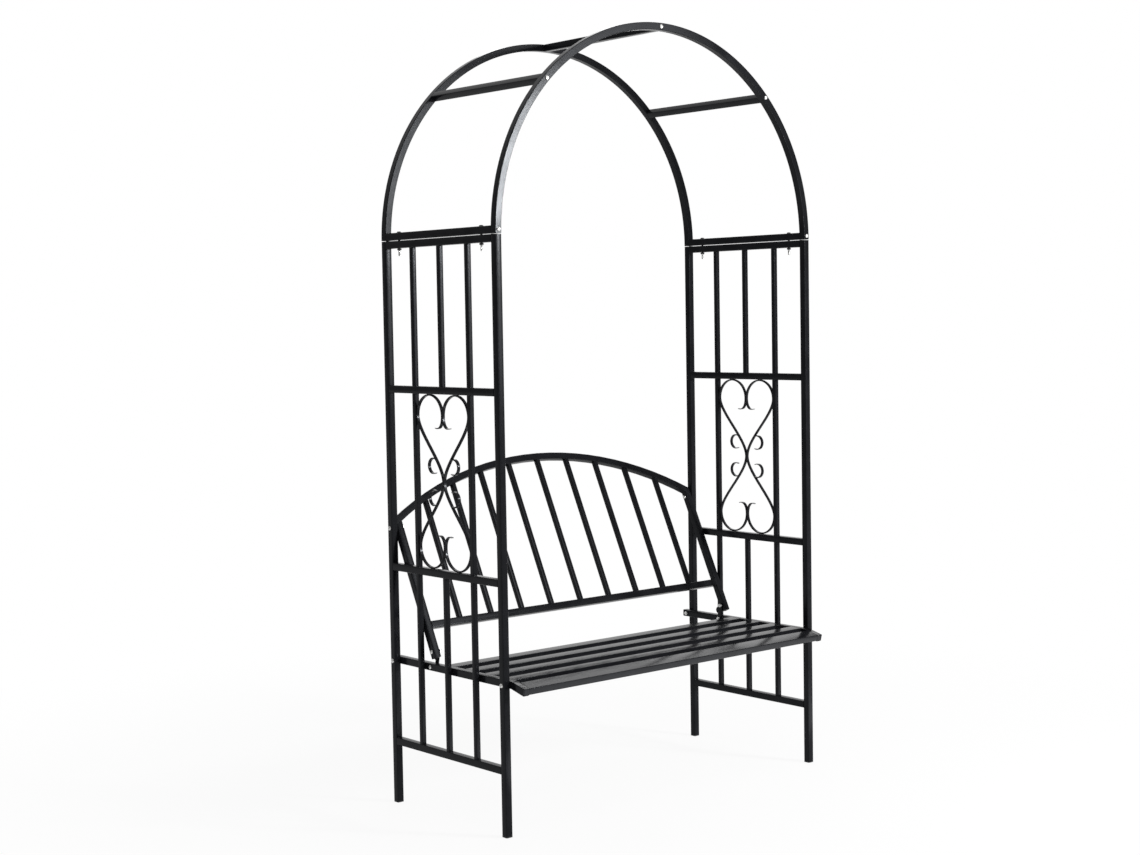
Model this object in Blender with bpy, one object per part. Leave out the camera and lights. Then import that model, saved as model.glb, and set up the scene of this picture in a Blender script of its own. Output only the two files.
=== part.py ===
"""Garden arbor bench: two tube side panels, a double arch over them and a slatted bench between.

Metres, +Z up. X runs along the bench, the front faces -Y, the feet stand on Z = 0.
Every place is measured from the middle of the side panels; one empty moves the whole bench,
so that its origin lies under the middle of its overall box.
"""

from math import asin, cos, pi, radians, sin, sqrt

import bmesh
import bpy
from mathutils import Vector

# Frame: side panels and their square tube
POST_SPACING_X = 1.088
POST_SPACING_Y = 0.460
PANEL_HEIGHT = 1.470
TUBE = 0.019
TUBE_WALL = 0.0010
TUBE_CORNER = 0.0016
BAR = 0.013
BAR_WALL = 0.0009
BAR_CORNER = 0.0012
UPPER_RAIL_Z = 1.089
LOWER_RAIL_Z = 0.625
BOTTOM_RAIL_Z = 0.164
BARS_PER_PANEL = 3

# Gap left where two pieces touch, how deep welded tubes run into each other,
# and how far a cutter runs past a face
GAP = 0.0003
WELD_DEPTH = 0.0005
OVERRUN = 0.002

# Arches and the pieces between them
ARCH_GAP = 0.0018
ARCH_RISE = 0.537
CROSS_BAR_ANGLES = {"right": radians(45), "crown": radians(90), "left": radians(135)}
ARCH_STEPS = 36

# Scrollwork of flat strip
STRIP_WIDTH = 0.008
STRIP_THICKNESS = 0.004
STRIP_SIDE_PULL = 0.045
STRIP_PINCH_PULL = 0.049
STRIP_TIP_OUT = 0.0285
STRIP_TIP_DROP = 0.0305
STRIP_TIP_PULL = 0.016
STRIP_TIP_DIP = 0.005
STRIP_TAPER_LENGTH = 0.022
STRIP_TIP_SHARE = 0.35
LOOP_STEPS = 12
SWEEP_STEPS = 10
CURL_RADIUS = 0.0195
CURL_MEETS_UP = 0.0550
CURL_MEET_ANGLE = radians(132)
CURL_FREE_ANGLE = radians(-116)
CURL_STEPS = 11

# Seat
SEAT_TOP = 0.385
SEAT_REAR_PAST_POST = 0.0045
NOSE_BEND_PAST_POST = 0.0025
NOSE_LENGTH = 0.050
NOSE_PITCH = radians(14)
SLAT_WIDTH = 0.0385
SLAT_THICKNESS = 0.018
SLAT_CORNER = 0.0014
SLAT_PITCH = 0.0793
SLAT_COUNT = 4
REAR_SLAT_Y = 0.0265

# Backrest, in its own leaning plane
BACKREST_LEAN = radians(25.5)
BACKREST_FOOT_Y = 0.075
BACKREST_LIFT = 0.015
BACKREST_SHOULDER = 0.3803
BACKREST_RADIUS = 1.030
BACKREST_RAIL_UP = 0.087
BACKREST_BARS = 9
BACKREST_ARC_STEPS = 24

# Strap at each foot of the backrest, with an ear that has a spare hole
STRAP_WIDTH = 0.0125
STRAP_EAR_RADIUS = 0.010
STRAP_EAR_UP_SHARE = 0.60
STRAP_THICKNESS = 0.003
STRAP_HOLE_UP = 0.017
STRAP_RAIL_HOLE_BACK = 0.015
STRAP_END_STEPS = 8

# Screws, bolts, nuts and inserts, all with the same thread; a nut or an insert is one piece
# with the bolt that it is turned onto
BOLT_RADIUS = 0.003
HEAD_RADIUS = 0.0056
HEAD_HEIGHT = 0.0034
SHORT_LENGTH = 0.030
FRAME_LENGTH = 0.045
FOOT_LENGTH = 0.060
NUT_RADIUS = 0.00577
NUT_HEIGHT = 0.005
INSERT_LENGTH = 0.012
HEAD_PROFILE_SHARES = ((0.62, 0.90), (1.0, 0.35), (1.0, 0.0))
HOLE_SIDES = 8
HEAD_SIDES = 10
SHANK_SIDES = 6

# Plastic plugs in the open ends of the posts
FOOT_PLUG_FLANGE = 0.003
FOOT_PLUG_BODY = 0.014

# Places worked out from the sizes above
X_AXIS = Vector((1, 0, 0))
Y_AXIS = Vector((0, 1, 0))
Z_AXIS = Vector((0, 0, 1))
SHARP_ANGLE = radians(35)
SIDES = {"left": -1, "right": 1}
ENDS = {"front": -1, "back": 1}

POST_X = POST_SPACING_X / 2
POST_Y = POST_SPACING_Y / 2
POST_FACE_X = POST_X + TUBE / 2
POST_FACE_Y = POST_Y + TUBE / 2
TOP_RAIL_Z = PANEL_HEIGHT - TUBE / 2
BETWEEN_Y = POST_Y - TUBE / 2 - GAP
BAR_PITCH_Y = POST_SPACING_Y / (BARS_PER_PANEL + 1)
BAR_YS = [BAR_PITCH_Y * (i - (BARS_PER_PANEL - 1) / 2) for i in range(BARS_PER_PANEL)]

ARCH_BASE_Z = PANEL_HEIGHT + ARCH_GAP
FOOT_RAIL_Z = ARCH_BASE_Z + TUBE / 2
FOOT_BOLT_YS = [end * (POST_Y + BAR_YS[-1]) / 2 for end in ENDS.values()]

INNER_X = POST_X - TUBE - GAP
INNER_FACE_X = INNER_X - TUBE / 2
BETWEEN_X = INNER_FACE_X - GAP

SEAT_RAIL_Z = SEAT_TOP - TUBE / 2
SEAT_REAR_Y = POST_FACE_Y + SEAT_REAR_PAST_POST
NOSE_BEND_Y = -POST_FACE_Y - NOSE_BEND_PAST_POST
NOSE_ALONG = Vector((0, -cos(NOSE_PITCH), -sin(NOSE_PITCH)))
NOSE_UP = Vector((0, -sin(NOSE_PITCH), cos(NOSE_PITCH)))

BACKREST_UP = Vector((0, sin(BACKREST_LEAN), cos(BACKREST_LEAN)))
BACKREST_REAR = Vector((0, cos(BACKREST_LEAN), -sin(BACKREST_LEAN)))
BACKREST_FOOT_Z = SEAT_TOP + BACKREST_LIFT
BACKREST_POST_BOLT_UP = (POST_Y - BACKREST_FOOT_Y) / BACKREST_UP.y
BACKREST_CENTRE_UP = BACKREST_SHOULDER - sqrt(BACKREST_RADIUS ** 2 - INNER_X ** 2)
BACKREST_PEAK = BACKREST_CENTRE_UP + BACKREST_RADIUS
BACKREST_HALF_ANGLE = asin((INNER_X + TUBE / 2) / BACKREST_RADIUS)
BACKREST_STEP = 2 * BACKREST_HALF_ANGLE / BACKREST_ARC_STEPS
UNDER_ARC_RADIUS = BACKREST_RADIUS * cos(BACKREST_STEP / 2) - TUBE / 2
BACKREST_BAR_PITCH = (2 * INNER_FACE_X + BAR) / (BACKREST_BARS + 1)

HOLE_RADIUS = (BOLT_RADIUS + GAP) / cos(pi / HOLE_SIDES)
REAR_REACH = (BACKREST_FOOT_Y + BACKREST_UP.y * (BACKREST_PEAK + TUBE / 2 - TUBE_CORNER)
              + BACKREST_REAR.y * TUBE / 2)
FRONT_REACH = NOSE_BEND_Y + NOSE_ALONG.y * NOSE_LENGTH + NOSE_UP.y * TUBE / 2
ORIGIN_SHIFT_Y = -(REAR_REACH + FRONT_REACH) / 2

FINISHES = {
    "coat": ((0.016, 0.016, 0.018, 1), 0.42, 0.0),
    "zinc": ((0.60, 0.60, 0.58, 1), 0.34, 1.0),
    "plastic": ((0.020, 0.020, 0.021, 1), 0.60, 0.0),
}


def finish_material(name, finish):
    """A material of its own for each piece."""
    colour, roughness, metallic = FINISHES[finish]
    material = bpy.data.materials.new(name + "_" + finish)
    material.use_nodes = True
    shader = material.node_tree.nodes["Principled BSDF"]
    shader.inputs["Base Color"].default_value = colour
    shader.inputs["Roughness"].default_value = roughness
    shader.inputs["Metallic"].default_value = metallic
    return material


def make(name, bm, finish="coat"):
    """Turn a finished bmesh into a named piece on the bench's origin."""
    bmesh.ops.recalc_face_normals(bm, faces=bm.faces)
    mesh = bpy.data.meshes.new(name)
    bm.to_mesh(mesh)
    bm.free()
    mesh.shade_smooth()
    mesh.set_sharp_from_angle(angle=SHARP_ANGLE)
    mesh.materials.append(finish_material(name, finish))
    piece = bpy.data.objects.new(name, mesh)
    bpy.context.scene.collection.objects.link(piece)
    piece.parent = bpy.data.objects["bench_origin"]
    return piece


# Sections

def square(width, depth, corner):
    """Outline of a square tube, its corners taken off."""
    a, b = width / 2, depth / 2
    return [(a, corner - b), (a, b - corner), (a - corner, b), (corner - a, b),
            (-a, b - corner), (-a, corner - b), (corner - a, -b), (a - corner, -b)]


def rectangle(width, depth):
    a, b = width / 2, depth / 2
    return [(a, -b), (a, b), (-a, b), (-a, -b)]


def polygon(sides, radius):
    return [(radius * cos(2 * pi * i / sides), radius * sin(2 * pi * i / sides))
            for i in range(sides)]


TUBE_OUTLINE = square(TUBE, TUBE, TUBE_CORNER)
TUBE_BORE = rectangle(TUBE - 2 * TUBE_WALL, TUBE - 2 * TUBE_WALL)
BAR_OUTLINE = square(BAR, BAR, BAR_CORNER)
BAR_BORE = rectangle(BAR - 2 * BAR_WALL, BAR - 2 * BAR_WALL)


# Swept, stacked and turned shapes

def swept_rows(bm, path, side, outline, start, end, slim):
    """Rings of an outline along a path that lies in one plane, mitred at each bend."""
    rows = []
    for i, point in enumerate(path):
        before = path[max(i, 1)] - path[max(i, 1) - 1]
        after = path[min(i + 1, len(path) - 1)] - path[min(i, len(path) - 2)]
        along = before.normalized()
        normal = (along + after.normalized()).normalized()
        through = point
        if i == 0 and start:
            through, normal = start
        if i == len(path) - 1 and end:
            through, normal = end
        out = side.cross(along)
        row = []
        for a, b in outline:
            corner = point + side * a + out * b * (slim[i] if slim else 1)
            corner += along * ((through - corner).dot(normal) / along.dot(normal))
            row.append(bm.verts.new(corner))
        rows.append(row)
    return rows


def skin(bm, rows):
    """Faces between rings that hold the same number of points."""
    for row, above in zip(rows, rows[1:]):
        for j in range(len(row)):
            bm.faces.new((row[j - 1], row[j], above[j], above[j - 1]))


def close_end(bm, rings):
    """Close an end: one ring is filled, two rings leave the bore open."""
    if len(rings) == 1:
        bm.faces.new(rings[0])
        return
    edges = [bm.edges.get((ring[j - 1], ring[j])) for ring in rings for j in range(len(ring))]
    bmesh.ops.triangle_fill(bm, edges=edges, use_beauty=True)


def add_tube(bm, path, side, outline, bore=None, start=None, end=None, slim=None):
    """Sweep an outline, with its bore if it has one; start and end are cutting planes."""
    layers = []
    for loop in (outline, bore):
        if loop:
            rows = swept_rows(bm, path, side, loop, start, end, slim)
            skin(bm, rows)
            layers.append(rows)
    close_end(bm, [rows[0] for rows in layers])
    close_end(bm, [rows[-1] for rows in layers])


def add_stack(bm, foot, along, side, levels):
    """Rings stacked along a line. Rings that hold unlike numbers of points lie at one height."""
    out = side.cross(along)
    rows = [[bm.verts.new(foot + along * height + side * a + out * b) for a, b in outline]
            for height, outline in levels]
    for row, above in zip(rows, rows[1:]):
        if len(row) == len(above):
            skin(bm, [row, above])
        else:
            edges = [bm.edges.get((ring[j - 1], ring[j])) or bm.edges.new((ring[j - 1], ring[j]))
                     for ring in (row, above) for j in range(len(ring))]
            bmesh.ops.triangle_fill(bm, edges=edges, use_beauty=True)
    close_end(bm, rows[:1])
    close_end(bm, rows[-1:])


def across(direction):
    """A direction square to the one given."""
    return Z_AXIS if abs(direction.z) < abs(direction.x) + abs(direction.y) else X_AXIS


def bolt(name, seat, along, length, grip, grip_outline, grip_height, side=None, finish="zinc"):
    """A pan-head bolt with its head at seat, and the nut or insert that sits on its shank."""
    shank = polygon(SHANK_SIDES, BOLT_RADIUS)
    levels = [(-HEAD_HEIGHT * h, polygon(HEAD_SIDES, HEAD_RADIUS * r))
              for r, h in HEAD_PROFILE_SHARES]
    levels += [(0, shank), (grip, shank), (grip, grip_outline), (grip + grip_height, grip_outline),
               (grip + grip_height, shank), (length, shank)]
    bm = bmesh.new()
    add_stack(bm, seat, along, side or across(along), levels)
    make(name, bm, finish)


def helper(name, bm):
    """A shape that only cuts or joins another."""
    piece = make(name, bm)
    piece.hide_render = True
    piece.display_type = "WIRE"
    return piece


def combine(piece, other, operation):
    step = piece.modifiers.new(other.name, "BOOLEAN")
    step.operation = operation
    step.solver = "EXACT"
    step.object = other


def weld(piece, name, bm):
    """Join the welded-on shapes in bm to a piece."""
    combine(piece, helper(piece.name + "_" + name, bm), "UNION")


def drill(piece, holes):
    """Cut round holes, each given by the two ends of its axis."""
    bm = bmesh.new()
    for first, last in holes:
        add_tube(bm, [first, last], across((last - first).normalized()),
                 polygon(HOLE_SIDES, HOLE_RADIUS))
    combine(piece, helper(piece.name + "_holes", bm), "DIFFERENCE")


def hole_through(centre, axis, half):
    """A hole's axis that runs out past both faces."""
    reach = axis * (half + OVERRUN)
    return centre - reach, centre + reach


def straight(name, first, last, side, outline=TUBE_OUTLINE, bore=TUBE_BORE, holes=()):
    bm = bmesh.new()
    add_tube(bm, [first, last], side, outline, bore)
    piece = make(name, bm)
    if holes:
        drill(piece, holes)
    return piece


# Side panels

def posts(side_name, side):
    x = side * POST_X
    for end_name, end in ENDS.items():
        y = end * POST_Y
        heights = [SEAT_RAIL_Z]
        if end_name == "back":
            heights.append(backrest_point(0, BACKREST_POST_BOLT_UP).z)
        straight(side_name + "_" + end_name + "_post", Vector((x, y, FOOT_PLUG_FLANGE + GAP)),
                 Vector((x, y, PANEL_HEIGHT)), X_AXIS,
                 holes=[hole_through(Vector((x, y, z)), X_AXIS, TUBE / 2) for z in heights])


def upright_bars(bm, x, ys, low, high):
    for y in ys:
        add_tube(bm, [Vector((x, y, low)), Vector((x, y, high))], X_AXIS, BAR_OUTLINE, BAR_BORE)


def rails(side_name, side):
    """The four rails of a panel; the upper and lower bars hang welded from two of them."""
    x = side * POST_X
    heights = {"top": TOP_RAIL_Z, "upper": UPPER_RAIL_Z, "lower": LOWER_RAIL_Z,
               "bottom": BOTTOM_RAIL_Z}
    hung = {"top": UPPER_RAIL_Z, "lower": BOTTOM_RAIL_Z}
    for level, z in heights.items():
        rail = straight(side_name + "_" + level + "_rail", Vector((x, -BETWEEN_Y, z)),
                        Vector((x, BETWEEN_Y, z)), X_AXIS)
        if level in hung:
            bm = bmesh.new()
            upright_bars(bm, x, BAR_YS, hung[level] + TUBE / 2 + GAP, z - TUBE / 2 + WELD_DEPTH)
            weld(rail, "bars", bm)
        if level == "top":
            drill(rail, [hole_through(Vector((x, y, z)), Z_AXIS, TUBE / 2) for y in FOOT_BOLT_YS])


def foot_plug(side_name, end_name):
    """A plug in a foot, with a flange that the bench stands on."""
    size = TUBE - 2 * TUBE_WALL - 2 * GAP
    body = square(size, size, TUBE_CORNER)
    levels = [(0, TUBE_OUTLINE), (FOOT_PLUG_FLANGE, TUBE_OUTLINE), (FOOT_PLUG_FLANGE, body),
              (FOOT_PLUG_FLANGE + FOOT_PLUG_BODY, body)]
    bm = bmesh.new()
    foot = Vector((SIDES[side_name] * POST_X, ENDS[end_name] * POST_Y, 0))
    add_stack(bm, foot, Z_AXIS, X_AXIS, levels)
    make(side_name + "_" + end_name + "_foot_plug", bm, "plastic")


# Scrollwork

def curve(points, steps):
    """Points along a cubic curve given by its two ends and two handles."""
    a, b, c, d = [Vector(point) for point in points]
    found = []
    for i in range(steps + 1):
        t = i / steps
        found.append(a * (1 - t) ** 3 + b * 3 * t * (1 - t) ** 2 + c * 3 * t * t * (1 - t) + d * t ** 3)
    return found


def strip_path():
    """One strip from tip to tip, as places across and up from the panel's middle."""
    inner = (STRIP_THICKNESS - WELD_DEPTH) / 2
    outer = BAR_YS[-1] - BAR / 2 - STRIP_THICKNESS / 2 + WELD_DEPTH
    radius = (outer - inner) / 2
    top = (UPPER_RAIL_Z - LOWER_RAIL_Z) / 2 - TUBE / 2 - STRIP_THICKNESS / 2 - GAP
    level = top - radius
    tip = (inner + STRIP_TIP_OUT, level - STRIP_TIP_DROP)
    hook = curve([tip, (tip[0] - STRIP_TIP_PULL, tip[1] - STRIP_TIP_DIP),
                  (inner, level - STRIP_TIP_DROP + STRIP_TIP_DIP), (inner, level)], SWEEP_STEPS)
    loop = [Vector((inner + radius - radius * cos(pi * i / LOOP_STEPS),
                    level + radius * sin(pi * i / LOOP_STEPS))) for i in range(1, LOOP_STEPS)]
    run = curve([(outer, level), (outer, level - STRIP_SIDE_PULL), (inner, STRIP_PINCH_PULL),
                 (inner, 0)], SWEEP_STEPS)
    upper = hook + loop + run
    return upper + [Vector((p[0], -p[1])) for p in reversed(upper[:-1])], run


def curl_path(run):
    """A small curl, open towards the middle, from its free end to its weld on the strip."""
    above, below = [(first, last) for first, last in zip(run, run[1:])
                    if first[1] >= CURL_MEETS_UP >= last[1]][0]
    share = (above[1] - CURL_MEETS_UP) / (above[1] - below[1])
    meets = above + (below - above) * share
    centre = meets - Vector((cos(CURL_MEET_ANGLE), sin(CURL_MEET_ANGLE))) * CURL_RADIUS
    angles = [CURL_FREE_ANGLE + (CURL_MEET_ANGLE - CURL_FREE_ANGLE) * i / CURL_STEPS
              for i in range(CURL_STEPS + 1)]
    return [centre + Vector((cos(angle), sin(angle))) * CURL_RADIUS for angle in angles]


def tapered(path):
    """Thickness of a strip along its path, as a share: its tips are drawn out thin."""
    lengths = [0.0]
    for first, last in zip(path, path[1:]):
        lengths.append(lengths[-1] + (last - first).length)
    reach = [min(length, lengths[-1] - length) / STRIP_TAPER_LENGTH for length in lengths]
    return [STRIP_TIP_SHARE + (1 - STRIP_TIP_SHARE) * min(1, share) for share in reach]


def add_strip(bm, x, path, end, up=1):
    middle = (UPPER_RAIL_Z + LOWER_RAIL_Z) / 2
    add_tube(bm, [Vector((x, end * p[0], middle + up * p[1])) for p in path], X_AXIS,
             rectangle(STRIP_WIDTH, STRIP_THICKNESS), slim=tapered(path))


def scroll_panel(side_name, side):
    """Two bars with two bent strips between them and four small curls, all welded together."""
    x = side * POST_X
    strip, run = strip_path()
    curl = curl_path(run)
    bm = bmesh.new()
    add_strip(bm, x, strip, ENDS["front"])
    panel = make(side_name + "_scroll_panel", bm)

    bm = bmesh.new()
    add_strip(bm, x, strip, ENDS["back"])
    weld(panel, "back_strip", bm)

    bm = bmesh.new()
    for end in ENDS.values():
        for up in (1, -1):
            add_strip(bm, x, curl, end, up)
    weld(panel, "curls", bm)

    bm = bmesh.new()
    upright_bars(bm, x, [BAR_YS[0], BAR_YS[-1]], LOWER_RAIL_Z + TUBE / 2 + GAP,
                 UPPER_RAIL_Z - TUBE / 2 - GAP)
    weld(panel, "bars", bm)


# Arches

def arch_point(angle, y):
    return Vector((POST_X * cos(angle), y, ARCH_BASE_Z + ARCH_RISE * sin(angle)))


def arch_screw_places():
    """Each place where screws hold the arches, at y = 0, with the way its tube is turned."""
    places = {}
    for name, angle in CROSS_BAR_ANGLES.items():
        places[name + "_cross_bar"] = (arch_point(angle, 0), Vector((cos(angle), 0, sin(angle))))
    for name, side in SIDES.items():
        places[name + "_foot_rail"] = (Vector((side * POST_X, 0, FOOT_RAIL_Z)), X_AXIS)
    return places


def arches():
    places = arch_screw_places()
    for end_name, end in ENDS.items():
        y = end * POST_Y
        path = [arch_point(pi * i / ARCH_STEPS, y) for i in range(ARCH_STEPS + 1)]
        bm = bmesh.new()
        add_tube(bm, path, Y_AXIS, TUBE_OUTLINE, TUBE_BORE)
        drill(make(end_name + "_arch", bm),
              [hole_through(place + Y_AXIS * y, Y_AXIS, TUBE / 2) for place, _ in places.values()])

    for name, (place, turn) in places.items():
        bar = straight(name, place - Y_AXIS * BETWEEN_Y, place + Y_AXIS * BETWEEN_Y, turn)
        if name.endswith("foot_rail"):
            drill(bar, [hole_through(place + Y_AXIS * y, Z_AXIS, TUBE / 2) for y in FOOT_BOLT_YS])


def arch_screws():
    """Screws through the arches into threaded inserts in the ends of the tubes between them."""
    size = TUBE - 2 * TUBE_WALL - 2 * GAP
    grip = POST_FACE_Y + GAP - BETWEEN_Y + GAP
    for name, (place, turn) in arch_screw_places().items():
        for end_name, end in ENDS.items():
            bolt(end_name + "_" + name + "_screw", place + Y_AXIS * end * (POST_FACE_Y + GAP),
                 -Y_AXIS * end, SHORT_LENGTH, grip, rectangle(size, size),
                 min(INSERT_LENGTH, SHORT_LENGTH - grip - GAP), turn)


# Seat

def nose_point(distance, up=0):
    """A place along the drooping front of a seat rail, and up square to it."""
    bend = Vector((0, NOSE_BEND_Y, SEAT_RAIL_Z))
    return bend + NOSE_ALONG * distance + NOSE_UP * up


def strap_rail_hole():
    return Vector((0, BACKREST_FOOT_Y + STRAP_RAIL_HOLE_BACK, SEAT_RAIL_Z))


def seat_rail(side_name, side):
    shift = X_AXIS * side * INNER_X
    path = [Vector((0, SEAT_REAR_Y, SEAT_RAIL_Z)), nose_point(0), nose_point(NOSE_LENGTH)]
    front_bolt = Vector((0, -POST_Y, SEAT_RAIL_Z)) + shift
    rear_bolt = Vector((0, POST_Y, SEAT_RAIL_Z)) + shift
    bm = bmesh.new()
    add_tube(bm, [point + shift for point in path], X_AXIS, TUBE_OUTLINE, TUBE_BORE)
    drill(make(side_name + "_seat_rail", bm),
          [hole_through(rear_bolt, X_AXIS, TUBE / 2),
           hole_through(strap_rail_hole() + shift, X_AXIS, TUBE / 2),
           (front_bolt, front_bolt + X_AXIS * side * (TUBE / 2 + OVERRUN))])


def slats():
    outline = square(SLAT_THICKNESS, SLAT_WIDTH, SLAT_CORNER)
    bore = rectangle(SLAT_THICKNESS - 2 * TUBE_WALL, SLAT_WIDTH - 2 * TUBE_WALL)
    for i in range(SLAT_COUNT):
        y = REAR_SLAT_Y - SLAT_PITCH * i
        z = SEAT_TOP - SLAT_THICKNESS / 2
        straight("seat_slat_" + str(i + 1), Vector((-BETWEEN_X, y, z)), Vector((BETWEEN_X, y, z)),
                 Z_AXIS, outline, bore)
    centre = nose_point(NOSE_LENGTH - SLAT_WIDTH / 2, (TUBE - SLAT_THICKNESS) / 2)
    straight("seat_front_slat", centre - X_AXIS * BETWEEN_X, centre + X_AXIS * BETWEEN_X, NOSE_UP,
             outline, bore)


# Backrest

def backrest_point(x, up, rear=0):
    foot = Vector((x, BACKREST_FOOT_Y, BACKREST_FOOT_Z))
    return foot + BACKREST_UP * up + BACKREST_REAR * rear


def arc_point(angle, radius):
    """A place at a radius of the backrest's arched top, by its angle from the crown."""
    return backrest_point(radius * sin(angle), BACKREST_CENTRE_UP + radius * cos(angle))


def add_to_arc(bm, x, low, radius, outline, bore):
    """An upright in the backrest's plane, cut to the slope of the arched top where it ends."""
    angle = asin(x / radius)
    end = arc_point(angle, radius)
    slope = X_AXIS * sin(angle) + BACKREST_UP * cos(angle)
    add_tube(bm, [backrest_point(x, low), end], X_AXIS, outline, bore, end=(end, slope))


def backrest_hoop():
    """The arched top with a stile welded under each end."""
    path = [arc_point(BACKREST_STEP * i - BACKREST_HALF_ANGLE, BACKREST_RADIUS)
            for i in range(BACKREST_ARC_STEPS + 1)]
    bm = bmesh.new()
    add_tube(bm, path, BACKREST_REAR, TUBE_OUTLINE, TUBE_BORE,
             start=(path[0], X_AXIS), end=(path[-1], X_AXIS))
    hoop = make("backrest_hoop", bm)

    bm = bmesh.new()
    for side in SIDES.values():
        add_to_arc(bm, side * INNER_X, 0, UNDER_ARC_RADIUS + WELD_DEPTH, TUBE_OUTLINE, TUBE_BORE)
    weld(hoop, "stiles", bm)
    drill(hoop, [hole_through(backrest_point(side * INNER_X, up), X_AXIS, TUBE / 2)
                 for side in SIDES.values() for up in (STRAP_HOLE_UP, BACKREST_POST_BOLT_UP)])


def backrest_grille():
    """The bottom rail with the upright bars welded on it."""
    rail = straight("backrest_grille", backrest_point(-BETWEEN_X, BACKREST_RAIL_UP),
                    backrest_point(BETWEEN_X, BACKREST_RAIL_UP), BACKREST_REAR)
    bm = bmesh.new()
    for i in range(BACKREST_BARS):
        add_to_arc(bm, BACKREST_BAR_PITCH * (i - (BACKREST_BARS - 1) / 2),
                   BACKREST_RAIL_UP + TUBE / 2 - WELD_DEPTH, UNDER_ARC_RADIUS - GAP,
                   BAR_OUTLINE, BAR_BORE)
    weld(rail, "bars", bm)


def strap(side_name, side):
    """A flat strap with round ends and an ear, on the inner faces of a stile and its seat rail."""
    upper = backrest_point(0, STRAP_HOLE_UP)
    lower = strap_rail_hole()
    along = (upper - lower).normalized()
    back = along.cross(X_AXIS)
    face = X_AXIS * side * (INNER_FACE_X - GAP)
    half = STRAP_WIDTH / 2
    ear = lower.lerp(upper, STRAP_EAR_UP_SHARE) + back * half
    outline = []
    for centre, first, radius in ((upper, 0, half), (lower, pi, half), (ear, -pi / 2, STRAP_EAR_RADIUS)):
        for i in range(STRAP_END_STEPS + 1):
            angle = first + pi * i / STRAP_END_STEPS
            outline.append(centre + (back * cos(angle) + along * sin(angle)) * radius)
    bm = bmesh.new()
    rows = [[bm.verts.new(face + point - X_AXIS * side * depth) for point in outline]
            for depth in (0, STRAP_THICKNESS)]
    skin(bm, rows)
    close_end(bm, rows[:1])
    close_end(bm, rows[1:])
    middle = X_AXIS * side * (INNER_FACE_X - GAP - STRAP_THICKNESS / 2)
    drill(make(side_name + "_strap", bm),
          [hole_through(point + middle, X_AXIS, STRAP_THICKNESS / 2) for point in (upper, lower, ear)])


# Bolts with their nuts

def bolts(side_name, side):
    nut = polygon(SHANK_SIDES, NUT_RADIUS)
    inward = -X_AXIS * side
    post_face = X_AXIS * side * (POST_FACE_X + GAP)
    through = POST_FACE_X + GAP - INNER_FACE_X + GAP
    seat_end = Vector((0, POST_Y, SEAT_RAIL_Z))

    bolt(side_name + "_back_seat_bolt", seat_end + post_face, inward, FRAME_LENGTH, through, nut,
         NUT_HEIGHT)
    bolt(side_name + "_backrest_bolt", backrest_point(0, BACKREST_POST_BOLT_UP) + post_face, inward,
         FRAME_LENGTH, through, nut, NUT_HEIGHT)

    # The nut of the front seat bolt is held inside the rail, because a slat ends there
    captive = POST_FACE_X + GAP - (INNER_X + TUBE / 2 - TUBE_WALL - GAP)
    bolt(side_name + "_front_seat_bolt", Vector((0, -POST_Y, SEAT_RAIL_Z)) + post_face, inward,
         SHORT_LENGTH, captive, nut, NUT_HEIGHT)

    strap_places = {"upper": backrest_point(0, STRAP_HOLE_UP), "lower": strap_rail_hole()}
    for name, place in strap_places.items():
        bolt(side_name + "_strap_" + name + "_bolt", place + X_AXIS * side * (INNER_X + TUBE / 2 + GAP),
             inward, SHORT_LENGTH, TUBE + STRAP_THICKNESS + 3 * GAP, nut, NUT_HEIGHT)

    head_z = FOOT_RAIL_Z + TUBE / 2 + GAP
    for end_name, y in zip(ENDS, FOOT_BOLT_YS):
        bolt(side_name + "_" + end_name + "_foot_rail_bolt", Vector((side * POST_X, y, head_z)),
             -Z_AXIS, FOOT_LENGTH, head_z - (TOP_RAIL_Z - TUBE / 2) + GAP, nut, NUT_HEIGHT,
             finish="coat")


def main():
    for item in list(bpy.data.objects):
        bpy.data.objects.remove(item)
    origin = bpy.data.objects.new("bench_origin", None)
    origin.location = (0, ORIGIN_SHIFT_Y, 0)
    bpy.context.scene.collection.objects.link(origin)

    for side_name, side in SIDES.items():
        posts(side_name, side)
        rails(side_name, side)
        scroll_panel(side_name, side)
        seat_rail(side_name, side)
        strap(side_name, side)
        bolts(side_name, side)
        for end_name in ENDS:
            foot_plug(side_name, end_name)
    arches()
    arch_screws()
    slats()
    backrest_hoop()
    backrest_grille()


main()
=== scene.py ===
"""Looks of the garden arbor bench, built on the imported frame.

Powder coat on the tubes, smooth bends of the arches and scrolls, zinc screws, moulded plugs and
weld beads. Metres, +Z up. The front faces -Y and +X runs to the right as the bench is seen from
the front.
"""

from math import cos, pi, radians, sin, sqrt

import bmesh
import bpy
from mathutils import Matrix, Vector, noise


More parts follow.
